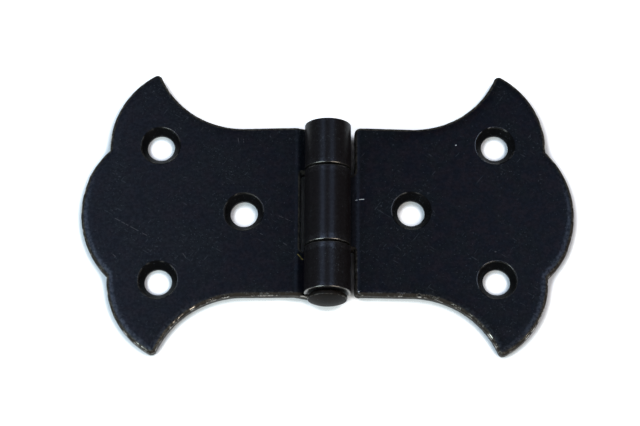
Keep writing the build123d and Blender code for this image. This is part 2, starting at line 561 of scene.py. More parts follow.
def edge_profile():
    """Rows of (distance in from the outline, depth, sheared, burr), from back to front."""
    rows = [(edge_roll + support, 0.0, 0.0, 0.0)]
    for a in quarter(roll_steps):
        rows.append((edge_roll * (1 - sin(a)), edge_roll * (1 - cos(a)), 0.0, 0.0))
    top = sheet - shear_burr
    for depth in (edge_roll + support, sheet / 2, top - support):
        rows.append((0.0, depth, 1.0, 0.0))
    for a in quarter(burr_steps):
        rows.append((shear_burr * (1 - cos(a)), top + shear_burr * sin(a), 1.0, 1.0))
    rows.append((shear_burr + support, sheet, 0.0, 1.0))
    return rows


def hole_profile():
    """Rows of (radius, depth, share of countersink), from the back face to the front face."""
    flank = atan2(sink_radius - hole_radius, sheet - sink_land)
    turns = np.linspace(0, flank, burr_steps + 1)
    lip_turns = np.linspace(flank, pi / 2, burr_steps + 1)
    shoulder = sink_land - land_radius * tan(flank / 2)
    lip_x = sink_radius + rim_radius * (1 - sin(flank)) / cos(flank)
    rows = [(hole_radius + land_radius + support, 0.0, 0.0)]
    for a in quarter(burr_steps):
        rows.append((hole_radius + land_radius * (1 - sin(a)), land_radius * (1 - cos(a)), 1.0))
    for a in turns:
        rows.append((hole_radius + land_radius * (1 - cos(a)), shoulder + land_radius * sin(a), 1.0))
    for a in lip_turns:
        rows.append((lip_x - rim_radius * cos(a), sheet - rim_radius * (1 - sin(a)), 1.0))
    rows.append((lip_x + support, sheet, 0.0))
    return rows


# %% Distances that are painted on the metal
def distance_to_outline(points, samples):
    """Shortest distance from each point to the closed outline."""
    start = samples[:, :2]
    run = np.roll(start, -1, axis=0) - start
    length = (run**2).sum(axis=1)
    nearest = np.full(len(points), np.inf)
    for place, step, size in zip(start, run, length):
        share = np.clip(((points - place) @ step) / size, 0, 1)
        gap = points - place - share[:, None] * step
        nearest = np.minimum(nearest, (gap**2).sum(axis=1))
    return np.sqrt(nearest)


def inside_outline(points, samples):
    """Whether each point lies within the outline, by counting the edges to its right."""
    start = samples[:, :2]
    end = np.roll(start, -1, axis=0)
    inside = np.zeros(len(points), bool)
    for (x0, y0), (x1, y1) in zip(start, end):
        if y0 == y1:
            continue
        crosses = (points[:, 1] > min(y0, y1)) & (points[:, 1] <= max(y0, y1))
        at_x = x0 + (points[:, 1] - y0) * (x1 - x0) / (y1 - y0)
        inside ^= crosses & (at_x > points[:, 0])
    return inside


hole_centres = np.array(
    [
        (inner_hole_x, pierce_shift),
        (outer_hole_x, outer_hole_y + pierce_shift),
        (outer_hole_x, pierce_shift - outer_hole_y),
    ]
)


def distance_to_holes(points):
    """Distance from each point to the rim of the nearest countersink, negative within it."""
    gaps = np.linalg.norm(points[:, None, :] - hole_centres[None], axis=2) - sink_radius
    return gaps.min(axis=1)


# %% Spacing of the points within a face
contour_insets = (0.34, 0.52, 0.75, 1.0, 1.3, 1.8, 2.5)
rim_rings = (0.34, 0.6, 1.0, 1.6)
rim_samples = 96
station_spacing = 0.6
plate_spacing = 1.5
clear_of_rings = 0.08


def full_turn(count):
    """Unit directions all round, evenly spaced."""
    return spokes_at(np.linspace(0, 2 * pi, count, endpoint=False))


# %% Points within a face
def free_points(samples, start, spread):
    """Loose points inside a face: contours along its edge, rings round its holes and a grid."""
    found = [samples[::2, :2] + samples[::2, 2:] * inset for inset in contour_insets]
    spokes = full_turn(rim_samples // 2)
    found += [centre + spokes * (spread + gap) for centre in hole_centres for gap in rim_rings]
    across = np.arange(swage_start + plate_spacing, leaf_reach, plate_spacing)
    along = np.arange(-wing_y - wing_radius, wing_y + wing_radius, plate_spacing)
    grid = np.stack(np.meshgrid(across, along), axis=2).reshape(-1, 2)
    wide = np.full(len(grid), contour_insets[-1])
    needed = [np.full(len(samples[::2]), inset - clear_of_rings) for inset in contour_insets]
    needed += [np.full(len(spokes), start)] * (len(hole_centres) * len(rim_rings))
    points = np.vstack(found + [grid])
    needed = np.concatenate(needed + [wide])
    margin = np.maximum(needed, start + clear_of_rings)
    keep = inside_outline(points, samples) & (distance_to_outline(points, samples) > margin)
    keep &= distance_to_holes(points) > spread - sink_radius + clear_of_rings
    keep &= points[:, 0] > swage_start + clear_of_rings
    return points[keep]


def station_lines(samples, start):
    """Rows of points across the strap and the tongues, one row at each station."""
    rows = []
    for x in stations[1:-1]:
        along = np.arange(-neck_half, neck_half + station_spacing / 2, station_spacing)
        points = np.stack([np.full(len(along), x), along], axis=1)
        keep = inside_outline(points, samples)
        keep &= distance_to_outline(points, samples) > start + clear_of_rings
        kept = np.flatnonzero(keep)
        for run in np.split(kept, np.flatnonzero(np.diff(kept) > 1) + 1):
            if len(run):
                rows.append(points[run])
    return rows


# %% Faces between the rings and within them
def loop_edges(first, count):
    """Edges of a closed ring of points."""
    return [(first + i, first + (i + 1) % count) for i in range(count)]


def stacked_faces(first, rings, count, flipped=False):
    """Faces between the rings of a stack whose points start at first, count to a ring."""
    faces = []
    for low in range(first, first + (rings - 1) * count, count):
        for here, ahead in loop_edges(low, count):
            face = (here, ahead, ahead + count, here + count)
            faces.append(face[:1] + face[:0:-1] if flipped else face)
    return faces


def fill_face(samples, border, rims, spread):
    """Triangles between the border ring and the hole rings. Returns new points and triangles.

    A triangle's corner is an index into border, then rims, then the new points.
    """
    ring, start = border
    loose = free_points(samples, start, spread)
    rows = station_lines(samples, start)
    points = np.vstack([ring, *rims, loose, *rows])
    edges = loop_edges(0, len(ring))
    first = len(ring)
    for rim in rims:
        edges += loop_edges(first, len(rim))
        first += len(rim)
    first += len(loose)
    for row in rows:
        edges += [(first + i, first + i + 1) for i in range(len(row) - 1)]
        first += len(row)
    corners = [Vector(point) for point in points]
    places, _, faces, origins, _, _ = delaunay_2d_cdt(corners, edges, [], 1, tiny)
    middles = np.array([sum((places[i] for i in face), Vector((0, 0))) / len(face) for face in faces])
    solid = distance_to_holes(middles) > spread - sink_radius - clear_of_rings / 4
    triangles = [[origins[i][0] for i in face] for face, good in zip(faces, solid) if good]
    return points[len(ring) + sum(len(rim) for rim in rims):], triangles


# %% The blank
def painted_mesh(name, places, faces, labels):
    """A smooth mesh from points in millimetres, with the labelled numbers painted on them."""
    mesh = bpy.data.meshes.new(name)
    mesh.from_pydata((places * mm).tolist(), [], faces)
    for label, values in labels.items():
        layer = mesh.attributes.new(label, "FLOAT", "POINT")
        layer.data.foreach_set("value", np.asarray(values, np.float32))
    mesh.polygons.foreach_set("use_smooth", np.ones(len(mesh.polygons), bool))
    mesh.validate()
    print(name, "has", len(mesh.vertices), "points and", len(mesh.polygons), "faces")
    return mesh


def paint_labels(places, paints, edge_gap):
    """What each point of a blank remembers, by label."""
    x, y, depth = places.T
    near_notch = (x < notch_x + notch_corner) & (x > 0)
    return {
        "edge_gap": edge_gap,
        "rim_gap": distance_to_holes(places[:, :2]),
        "curled": np.clip(1 - x / strap_start, 0, 1),
        "notched": near_notch & (np.abs(y) < neck_half - notch_corner),
        "front": depth > sheet * front_share,
        "sheared": paints[:, 0],
        "burr": paints[:, 1],
        "countersink": paints[:, 2],
    }


def stamped_blank(name, tongues):
    """Flat mesh of one leaf in X, Y and depth, with its painted distances."""
    samples = blank_outline(tongues)
    count = len(samples)
    rows = edge_profile()
    spokes = full_turn(rim_samples)
    hole_rows = hole_profile()

    places, paints = [], []
    tight = 1 - (1 - curled_roll / edge_roll) * np.clip(-samples[:, 0] / knuckle_radius, 0, 1)
    for inset, depth, wall, burr in rows:
        share = tight if max(inset, depth) <= edge_roll else np.ones(count)
        ring = samples[:, :2] + samples[:, 2:] * (inset * share)[:, None]
        places.append(np.column_stack([ring, depth * share]))
        paints.append(np.tile((wall, burr, 0.0), (count, 1)))
    faces = stacked_faces(0, len(rows), count)

    hole_first = []
    total = len(rows) * count
    for centre in hole_centres:
        hole_first.append(total)
        for radius, depth, sink in hole_rows:
            ring = centre + spokes * radius
            places.append(np.column_stack([ring, np.full(rim_samples, depth)]))
            paints.append(np.tile((0.0, 0.0, sink), (rim_samples, 1)))
        faces += stacked_faces(total, len(hole_rows), rim_samples, flipped=True)
        total += len(hole_rows) * rim_samples

    for row, hole_row, front in ((0, 0, False), (len(rows) - 1, len(hole_rows) - 1, True)):
        border = (places[row][:, :2], rows[row][0])
        spread = hole_rows[hole_row][0]
        rims = [centre + spokes * spread for centre in hole_centres]
        new, triangles = fill_face(samples, border, rims, spread)
        index = list(range(row * count, (row + 1) * count))
        for first in hole_first:
            index += range(first + hole_row * rim_samples, first + (hole_row + 1) * rim_samples)
        index += range(total, total + len(new))
        total += len(new)
        places.append(np.column_stack([new, np.full(len(new), sheet if front else 0.0)]))
        paints.append(np.zeros((len(new), 3)))
        for triangle in triangles:
            corners = [index[i] for i in triangle]
            faces.append(corners if front else corners[::-1])

    places, paints = np.vstack(places), np.vstack(paints)
    edge_gap = distance_to_outline(places[:, :2], samples)
    fall = np.clip(1 - edge_gap / front_sag_width, 0, 1) ** 2
    on_plate = np.clip((places[:, 0] - swage_start) / swage_start, 0, 1)
    places[:, 2] -= np.where(places[:, 2] > sheet / 2, front_sag * fall * on_plate, 0)
    return painted_mesh(name, places, faces, paint_labels(places, paints, edge_gap))


# %% [markdown]
# ## Swaging and curling with Geometry Nodes
#
# A leaf's shape across the pin follows one rule, so a geometry tree bends the flat blank the way
# the press did. Going inwards, the plate dips round one bend, runs down a slope, lifts round a
# second bend, passes flat under the pin as a strap, and is curled round it. The tree finds the
# height of every point from its X and its depth in the sheet. Points past the pin's axis are
# wrapped round it, with the length of the strap measured at the middle of the sheet. At the end
# the leaf is lifted to the pin, droops until it rests on the surface and, for the left leaf, is
# turned end for end.

# %% Steps of the press tool
def beyond_x(tree, x, limit, before, after):
    """One number where X is at most the limit, and another past it."""
    node = tree.nodes.new("GeometryNodeSwitch")
    node.input_type = "FLOAT"
    feed(tree, node.inputs["Switch"], math_node(tree, "GREATER_THAN", x, limit))
    feed(tree, node.inputs["False"], before)
    feed(tree, node.inputs["True"], after)
    return node.outputs[0]


def arc_height(tree, radius, offset):
    """Height of an arc over its centre, at an offset from the centre."""
    m = maths(tree)
    left = m("SUBTRACT", m("MULTIPLY", radius, radius), m("MULTIPLY", offset, offset))
    return m("SQRT", m("MAXIMUM", left, 0.0))


def turn_about(tree, vector, axis, angle):
    """Rotate positions about an axis through the origin."""
    node = tree.nodes.new("ShaderNodeVectorRotate")
    node.rotation_type = axis
    feed(tree, node.inputs["Vector"], vector)
    feed(tree, node.inputs["Angle"], angle)
    return node.outputs[0]


# %% The press tool as a geometry tree
def press_tool():
    """Geometry tree that swages, curls and hangs a flat blank."""
    tree = bpy.data.node_groups.new("press_tool", "GeometryNodeTree")
    declare(tree, "INPUT", "Geometry", "Geometry")
    declare(
        tree, "INPUT", "Float", Sheet=sheet * mm, Knuckle_Radius=knuckle_radius * mm,
        Swage_Start=swage_start * mm, Swage_Drop=swage_drop * mm, Strap_Start=strap_start * mm,
        Bend_Radius=bend_radius * mm, Slope=slope, Pin_Height=pin_height * mm, Droop=droop, Turn=0.0,
    )
    declare(tree, "INPUT", "Material", "Finish")
    declare(tree, "OUTPUT", "Geometry", "Geometry")
    given = tree.nodes.new("NodeGroupInput").outputs
    m = maths(tree)
    x, y, depth = split_xyz(tree, tree.nodes.new("GeometryNodeInputPosition").outputs[0])
    rise, reach = m("SINE", given["Slope"]), m("COSINE", given["Slope"])

    dip_radius = m("ADD", given["Bend Radius"], depth)
    dip_end = m("SUBTRACT", given["Swage Start"], m("MULTIPLY", dip_radius, rise))
    dip_centre = m("SUBTRACT", given["Swage Drop"], given["Bend Radius"])
    dip_arc = arc_height(tree, dip_radius, m("SUBTRACT", x, given["Swage Start"]))
    plate_z = m("ADD", given["Swage Drop"], depth)
    dip_z = m("ADD", dip_centre, dip_arc)

    outer = m("ADD", given["Bend Radius"], given["Sheet"])
    lift_radius = m("SUBTRACT", outer, depth)
    lift_start = m("ADD", given["Strap Start"], m("MULTIPLY", lift_radius, rise))
    lift_arc = arc_height(tree, lift_radius, m("SUBTRACT", x, given["Strap Start"]))
    lift_z = m("SUBTRACT", outer, lift_arc)
    slope_foot = m("SUBTRACT", outer, m("MULTIPLY", lift_radius, reach))
    along_slope = m("MULTIPLY", m("SUBTRACT", x, lift_start), m("TANGENT", given["Slope"]))
    slope_z = m("ADD", slope_foot, along_slope)

    middle = m("SUBTRACT", given["Knuckle Radius"], m("MULTIPLY", given["Sheet"], 0.5))
    around = m("DIVIDE", m("MULTIPLY", x, -1.0), middle)
    curl_radius = m("SUBTRACT", given["Knuckle Radius"], depth)
    curl_x = m("MULTIPLY", m("MULTIPLY", curl_radius, m("SINE", around)), -1.0)
    curl_z = m("SUBTRACT", given["Knuckle Radius"], m("MULTIPLY", curl_radius, m("COSINE", around)))

    z = curl_z
    for limit, height in (
        (0.0, depth), (given["Strap Start"], lift_z), (lift_start, slope_z), (dip_end, dip_z),
        (given["Swage Start"], plate_z),
    ):
        z = beyond_x(tree, x, limit, z, height)
    new_x = beyond_x(tree, x, 0.0, curl_x, x)

    level = join_xyz(tree, new_x, y, m("SUBTRACT", z, given["Knuckle Radius"]))
    hung = turn_about(tree, level, "Y_AXIS", given["Droop"])
    turned = turn_about(tree, hung, "Z_AXIS", given["Turn"])
    place = tree.nodes.new("GeometryNodeSetPosition")
    tree.links.new(given["Geometry"], place.inputs["Geometry"])
    tree.links.new(turned, place.inputs["Position"])
    tree.links.new(join_xyz(tree, 0.0, 0.0, given["Pin Height"]), place.inputs["Offset"])
    real = tree.nodes.new("GeometryNodeRealizeInstances")
    tree.links.new(place.outputs[0], real.inputs[0])
    paint = tree.nodes.new("GeometryNodeSetMaterial")
    tree.links.new(real.outputs[0], paint.inputs["Geometry"])
    tree.links.new(given["Finish"], paint.inputs["Material"])
    tree.links.new(paint.outputs[0], tree.nodes.new("NodeGroupOutput").inputs[0])
    return tree


def press(name, blank, tree, finish, turn):
    """Run the press tool on a blank and return the leaf as a plain mesh object."""
    blank_object = add_to_scene(name + "_blank", blank)
    tool = blank_object.modifiers.new("press", "NODES")
    tool.node_group = tree
    names = {item.name: item.identifier for item in tree.interface.items_tree if item.in_out == "INPUT"}
    tool[names["Turn"]] = turn
    tool[names["Finish"]] = finish
    seen_by = bpy.context.evaluated_depsgraph_get()
    mesh = bpy.data.meshes.new_from_object(blank_object.evaluated_get(seen_by))
    mesh.name = name
    bpy.data.objects.remove(blank_object)
    return add_to_scene(name, mesh)


# %% [markdown]
# ## Finishes
#
# The steel was blackened after it was pressed. The film itself is matt. Its gloss comes from the
# oil that it holds, so the gloss is a thin coat here: stronger on the curls, which the die has
# burnished, stronger along the outer edge of the near half, where the leaves are handled, and
# missing on the sheared walls. The film is cloudy with blue and purple patches, a little paler
# towards the left end of the left leaf, and dusted with tiny bright specks. Light and shade are
# painted into it too: a paler film on the shaded slope of the right leaf as painted fill light, and
# painted shade in the countersinks and on the cut walls of the curls. The film has rubbed off in
# patches along the cut edge and round the countersinks, and all along the rims of the curls, where
# bare steel shows. A few scratches and nicks are drawn one by one, because chance would not put
# them where they are. The silver nicks are painted as bright as their glints, a painted highlight.
#
# The finishes share four effects, so those are node groups: `film_clouds` gives a slow cloudiness
# and a fine grain, `bright_specks` a thin dusting or, stretched, fine hairlines, `rubbed_edge` a
# ragged band along an edge, and `scratch` one thin broken line between two places.

# %% Shared effects
def new_group(name, outputs, **inputs):
    """A shader group with its outputs, and its inputs with their defaults. Returns the sockets too."""
    group = bpy.data.node_groups.new(name, "ShaderNodeTree")
    declare(group, "INPUT", "Float", **inputs)
    declare(group, "OUTPUT", "Float", *outputs)
    return group, group.nodes.new("NodeGroupInput").outputs, group.nodes.new("NodeGroupOutput").inputs


def noise(tree, place, scale, detail=2.0, roughness=0.5):
    """A noise between 0 and 1, at features per metre."""
    node = tree.nodes.new("ShaderNodeTexNoise")
    tree.links.new(place, node.inputs["Vector"])
    for name, value in (("Scale", scale), ("Detail", detail), ("Roughness", roughness)):
        feed(tree, node.inputs[name], value)
    return node.outputs["Fac"]


def use_group(tree, group, **values):
    """Place a shared effect in a material. Returns its outputs."""
    node = tree.nodes.new("ShaderNodeGroup")
    node.node_tree = group
    for name, value in values.items():
        feed(tree, node.inputs[name.replace("_", " ")], value)
    return node.outputs


# %% Clouds and grain of the film
clouds_band, tint_band = (0.38, 0.62), (0.42, 0.60)
clouds_noise, tint_noise, grain_noise = (4.0, 0.65), (4.0, 0.7), (3.0, 0.6)
tint_finer = 3.1


def film_clouds():
    """Cloudiness and grain of the black film."""
    group, given, taken = new_group(
        "film_clouds", ("Clouds", "Tint", "Grain"), Cloud_Scale=260.0, Grain_Scale=2600.0
    )
    place = object_place(group)
    clouds = noise(group, place, given["Cloud Scale"], *clouds_noise)
    feed(group, taken["Clouds"], ease(group, clouds, *clouds_band))
    finer = math_node(group, "MULTIPLY", given["Cloud Scale"], tint_finer)
    feed(group, taken["Tint"], ease(group, noise(group, place, finer, *tint_noise), *tint_band))
    feed(group, taken["Grain"], noise(group, place, given["Grain Scale"], *grain_noise))
    return group


clouds_group = film_clouds()
print("film_clouds has", len(clouds_group.nodes), "nodes")

# %% A rubbed edge
edge_noise = (3.0, 0.65)
noise_middle = 0.5
fully_bare = 0.4


def rubbed_edge():
    """Ragged band beside an edge, from the distance to that edge in millimetres."""
    group, given, taken = new_group(
        "rubbed_edge", ("Bare",), Gap=1.0, Width=0.2, Raggedness=0.5, Scale=1500.0
    )
    m = maths(group)
    ragged = m("SUBTRACT", noise(group, object_place(group), given["Scale"], *edge_noise), noise_middle)
    shifted = m("ADD", given["Gap"], m("MULTIPLY", ragged, given["Raggedness"]))
    low = m("MULTIPLY", given["Width"], fully_bare)
    feed(group, taken["Bare"], ease(group, shifted, low, given["Width"], 1.0, 0.0))
    return group


edge_group = rubbed_edge()
print("rubbed_edge has", len(edge_group.nodes), "nodes")

# %% Specks and hairlines
crowd_effect = 0.25
speck_fade = 0.06


def bright_specks():
    """Sparse specks where the film has pinholes, in crowds. Stretched, they are hairlines."""
    group, given, taken = new_group(
        "bright_specks", ("Specks",), Speck_Scale=5200.0, Threshold=0.71, Crowd_Scale=260.0,
        Stretch=1.0, Angle=0.0,
    )
    m = maths(group)
    place = object_place(group)
    drawn = group.nodes.new("ShaderNodeMapping")
    drawn.vector_type = "TEXTURE"
    group.links.new(place, drawn.inputs["Vector"])
    feed(group, drawn.inputs["Rotation"], join_xyz(group, 0.0, 0.0, given["Angle"]))
    feed(group, drawn.inputs["Scale"], join_xyz(group, given["Stretch"], 1.0, 1.0))
    dots = noise(group, drawn.outputs[0], given["Speck Scale"], detail=1.0)
    crowd = m("SUBTRACT", noise(group, place, given["Crowd Scale"]), noise_middle)
    level = m("SUBTRACT", given["Threshold"], m("MULTIPLY", crowd, crowd_effect))
    feed(group, taken["Specks"], ease(group, dots, level, m("ADD", level, speck_fade)))
    return group


specks_group = bright_specks()
print("bright_specks has", len(specks_group.nodes), "nodes")

# %% A scratch
full_depth = 0.4
break_scale = 2400.0


def scratch():
    """Thin broken line between two places on the plan, in millimetres."""
    group, given, taken = new_group(
        "scratch", ("Line",), From_X=0.0, From_Y=0.0, To_X=1.0, To_Y=0.0, Width=0.08, Breaks=0.5
    )
    m = maths(group)

    def dot(first, second):
        return m("ADD", *(m("MULTIPLY", a, b) for a, b in zip(first, second)))

    place = object_place(group)
    parts = split_xyz(group, place)
    run = [m("SUBTRACT", given["To " + axis], given["From " + axis]) for axis in "XY"]
    away = [m("SUBTRACT", m("DIVIDE", parts[axis], mm), given["From " + axis]) for axis in "XY"]
    share = m("DIVIDE", dot(away, run), dot(run, run), clamp=True)
    gap = [m("SUBTRACT", away[i], m("MULTIPLY", share, run[i])) for i in range(2)]
    gap = m("SQRT", dot(gap, gap))
    half = m("MULTIPLY", given["Width"], 0.5)
    line = ease(group, gap, m("MULTIPLY", half, full_depth), half, 1.0, 0.0)
    broken = m("LESS_THAN", given["Breaks"], noise(group, place, break_scale, detail=1.0))
    feed(group, taken["Line"], m("MULTIPLY", line, broken))
    return group


scratch_group = scratch()
print("scratch has", len(scratch_group.nodes), "nodes")

# %% Colours of the film and of the steel
film_blue = (0.0037, 0.0041, 0.0073, 1.0)
film_purple = (0.0086, 0.0060, 0.0086, 1.0)
film_teal = (0.0046, 0.0063, 0.0066, 1.0)
film_paler = (0.0218, 0.0236, 0.0312, 1.0)
film_pit = (0.0022, 0.0022, 0.0034, 1.0)
edge_brown = (0.027, 0.021, 0.016, 1.0)
curl_brown = (0.0078, 0.0058, 0.0056, 1.0)
bare_steel = (0.34, 0.31, 0.27, 1.0)
sheared_steel = (0.060, 0.052, 0.041, 1.0)
sheared_dark = (0.014, 0.0125, 0.011, 1.0)
# Painted shade: the countersinks are coloured darker than the film, for the shade in them.
sink_painted_shade = (0.0034, 0.0032, 0.0034, 1.0)
speck_grey = (0.070, 0.075, 0.085, 1.0)
scratch_grey = (0.075, 0.070, 0.075, 1.0)
# Painted highlight: the silver of the nicks is as bright as their glints.
nick_and_glint_silver = (0.62, 0.62, 0.62, 1.0)
nick_brass = (0.20, 0.15, 0.045, 1.0)
head_grey = (0.0046, 0.0032, 0.0022, 1.0)
head_brown = (0.0070, 0.0044, 0.0026, 1.0)

# %% Scratches and nicks on the leaves, as (from x, from y, to x, to y, width) in millimetres
scratches = (
    (-28.15, -0.8, -22.9, -3.8, 0.08),
    (21.95, -5.4, 22.05, -5.4, 0.18),
    (-11.9, 10.2, -11.75, 9.3, 0.08),
    (-11.2, 10.4, -11.15, 9.6, 0.07),
    (-6.5, -0.7, -4.65, -1.6, 0.06),
    (-6.15, -4.3, -5.3, -4.85, 0.06),
    (-8.8, -3.2, -8.1, -3.6, 0.07),
    (-19.1, -5.6, -18.5, -6.5, 0.06),
    (-28.2, -5.8, -27.7, -6.3, 0.07),
)
# The silver nicks are bare nicks painted as bright as their glints, a painted highlight.
silver_nicks_and_glints = (
    (3.66, 1.50, 3.88, 1.51, 0.10),
    (4.15, 1.54, 4.75, 1.58, 0.12),
    (16.88, 9.46, 16.98, 9.46, 0.16),
    (3.60, -11.30, 4.30, -11.20, 0.26),
    (-4.25, -11.55, -3.75, -11.65, 0.16),
)
brass_nicks = ((-3.85, -6.1, -3.25, -6.7, 0.20),)
marks_and_inks = ((scratches, scratch_grey), (silver_nicks_and_glints, nick_and_glint_silver), (brass_nicks, nick_brass))
print(len(scratches), "scratches and", len(silver_nicks_and_glints) + len(brass_nicks), "nicks")

# %% Helpers for the materials
oil_roughness = 0.32
grain_height = 0.012 * mm


def painted(tree, label):
    """A number painted on the mesh."""
    node = tree.nodes.new("ShaderNodeAttribute")
    node.attribute_name = label
    return node.outputs["Fac"]


def steel_material(name):
    """A material with its film and its Principled shader. The grain is already in the normal."""
    material = bpy.data.materials.new(name)
    material.use_nodes = True
    tree = material.node_tree
    film = use_group(tree, clouds_group)
    grain = tree.nodes.new("ShaderNodeBump")
    grain.inputs["Distance"].default_value = grain_height
    tree.links.new(film["Grain"], grain.inputs["Height"])
    steel = tree.nodes["Principled BSDF"].inputs
    feed(tree, steel["Normal"], grain.outputs["Normal"])
    feed(tree, steel["Coat Roughness"], oil_roughness)
    return material, tree, film, steel


# %% The film with its specks and marks
teal_share = 0.65
paler_from, paler_to, paler_share = 10.0, -30.0, 0.3
# Across the right leaf's slope, where the paler film is painted on as fill light in its shade.
valley_in, valley_out = (2.9, 3.4), (3.8, 4.15)
grain_band = (0.35, 0.65)
pit_share = 0.38
curl_tint = 0.8
speck_share = 0.5
hairline_stretch = 9.0
hairline_angles = (-0.55, 0.9)
hairline_cut, hairline_share = 0.73, 0.3


def speckled(tree):
    """How bright the specks and the hairlines are."""
    m = maths(tree)
    specks = m("MULTIPLY", use_group(tree, specks_group)["Specks"], speck_share)
    for angle in hairline_angles:
        hairs = use_group(
            tree, specks_group, Stretch=hairline_stretch, Angle=angle, Threshold=hairline_cut
        )
        specks = m("MAXIMUM", specks, m("MULTIPLY", hairs["Specks"], hairline_share))
    return specks


def film_colour(tree, film, across, paint):
    """Colour of the film over a leaf, from its slow clouds to its single scratches."""
    m = maths(tree)
    # Painted fill light: the front of the right leaf's slope lies in shade, so the paler film is mixed
    # in there.
    painted_fill_light = m("MULTIPLY", ease(tree, across, *valley_in), ease(tree, across, *valley_out, 1.0, 0.0))
    colour = mix_colour(tree, film["Tint"], film_blue, film_purple)
    for share, ink in (
        (m("MULTIPLY", film["Clouds"], teal_share), film_teal),
        # The film is paler towards the left end of the left leaf.
        (ease(tree, across, paler_to, paler_from, paler_share, 0.0), film_paler),
        (m("MULTIPLY", painted_fill_light, paint["front"]), film_paler),
        (ease(tree, film["Grain"], *grain_band, pit_share, 0.0), film_pit),
        (m("MULTIPLY", paint["curled"], curl_tint), curl_brown),
        # Painted shade in the countersinks.
        (paint["countersink"], sink_painted_shade),
        (speckled(tree), speck_grey),
    ):
        colour = mix_colour(tree, share, colour, ink)
    for marks, ink in marks_and_inks:
        for from_x, from_y, to_x, to_y, width in marks:
            mark = use_group(
                tree, scratch_group, From_X=from_x, From_Y=from_y, To_X=to_x, To_Y=to_y, Width=width
            )
            colour = mix_colour(tree, mark["Line"], colour, ink)
    return colour


# %% Where steel shows, with distances in millimetres
# Painted shade on the cut walls of the curls.
curl_wall_shade = 0.9
flare_from, flare_to = (14.0, -5.0), (19.0, -9.0)
edge_width, flare_wear, edge_ragged = 0.28, 0.26, 0.4
notch_kept = 0.9
patch_scale, patch_noise, patch_band = 900.0, (4.0, 0.7), (0.50, 0.64)
curl_rim, curl_rim_bare = (0.08, 0.15), 0.42
lip_band, lip_bare = (0.04, 0.12), 0.25
lip_scale, lip_patches = 420.0, (0.42, 0.54)


def steel_over_film(tree, colour, film, flare, paint):
    """Add cut walls and worn edges. Returns the colour, the share of bare steel and the lips."""
    m = maths(tree)
    place = object_place(tree)
    wall = mix_colour(tree, ease(tree, film["Grain"], *grain_band), sheared_dark, sheared_steel)
    # Painted shade: the cut walls of the curls face into the narrow gaps between the knuckles, so they
    # are darkened almost to black.
    wall = mix_colour(tree, m("MULTIPLY", paint["curled"], curl_wall_shade), wall, film_pit)
    colour = mix_colour(tree, paint["sheared"], colour, wall)

    width = m("ADD", m("MULTIPLY", flare, flare_wear), edge_width)
    edge = use_group(tree, edge_group, Gap=paint["edge_gap"], Width=width, Raggedness=edge_ragged)
    outer = m("SUBTRACT", 1.0, m("MULTIPLY", paint["notched"], notch_kept))
    outer = m("MAXIMUM", outer, paint["curled"])
    bare = m("MULTIPLY", m("MULTIPLY", edge["Bare"], paint["burr"]), outer)
    colour = mix_colour(tree, bare, colour, edge_brown)
    patches = ease(tree, noise(tree, place, patch_scale, *patch_noise), *patch_band)
    bare = m("MULTIPLY", bare, m("MAXIMUM", patches, paint["curled"]))

    rolled = m("SUBTRACT", 1.0, m("MAXIMUM", paint["front"], paint["sheared"]))
    rolled = m("MULTIPLY", rolled, ease(tree, paint["edge_gap"], *curl_rim, curl_rim_bare, 0.0))
    bare = m("MAXIMUM", bare, m("MULTIPLY", rolled, paint["curled"]))

    lip = ease(tree, m("ABSOLUTE", paint["rim_gap"]), *lip_band, 1.0, 0.0)
    lip = m("MULTIPLY", lip, paint["front"])
    lip = m("MULTIPLY", lip, ease(tree, noise(tree, place, lip_scale), *lip_patches))
    bare = m("MAXIMUM", bare, m("MULTIPLY", lip, lip_bare))
    return mix_colour(tree, bare, colour, bare_steel), bare, lip


# %% The oil
oil_gloss, curl_gloss, head_gloss = 0.15, 0.19, 0.062
handled_edge, handled_width = 0.3, 1.3
handled_from, handled_to, handled_least = 9.0, -1.0, 0.2
handled_grain = (0.35, 0.6, 0.5, 1.0)
flare_shine, right_shine = 0.4, 1.5
gloss_grain = (0.3, 0.7, 0.75, 1.25)


def oil_weight(tree, film, across, along, flare, paint):
    """How much oil the film holds, most of it where the near half is handled."""
    m = maths(tree)
    swaged = ease(tree, m("ABSOLUTE", across), swage_start, swage_start + handled_width)
    ends = ease(tree, along, handled_to, handled_from, 1.0, handled_least)
    for share in (
        ease(tree, film["Grain"], *handled_grain),
        ease(tree, flare, 0.0, 1.0, 1.0, flare_shine),
        m("MAXIMUM", swaged, paint["curled"]),
        ease(tree, across, outer_hole_x, leaf_reach, 1.0, right_shine),
    ):
        ends = m("MULTIPLY", ends, share)
    handled = ease(tree, paint["edge_gap"], handled_edge, handled_width, 1.0, 0.0)
    handled = m("MAXIMUM", m("MULTIPLY", handled, ends), oil_gloss)
    clean = m("SUBTRACT", 1.0, m("MAXIMUM", paint["sheared"], paint["countersink"]))
    gloss = m("ADD", m("MULTIPLY", clean, handled), m("MULTIPLY", paint["curled"], curl_gloss))
    return m("MULTIPLY", gloss, ease(tree, film["Grain"], *gloss_grain), clamp=True)


# %% Blackened sheet
sheet_labels = ("sheared", "burr", "countersink", "curled", "notched", "front", "edge_gap", "rim_gap")
metal_gain = 4.0
film_rough = (0.36, 0.46)
bare_polish, lip_polish = 0.4, 0.26
film_specular, head_specular = 0.04, 0.08


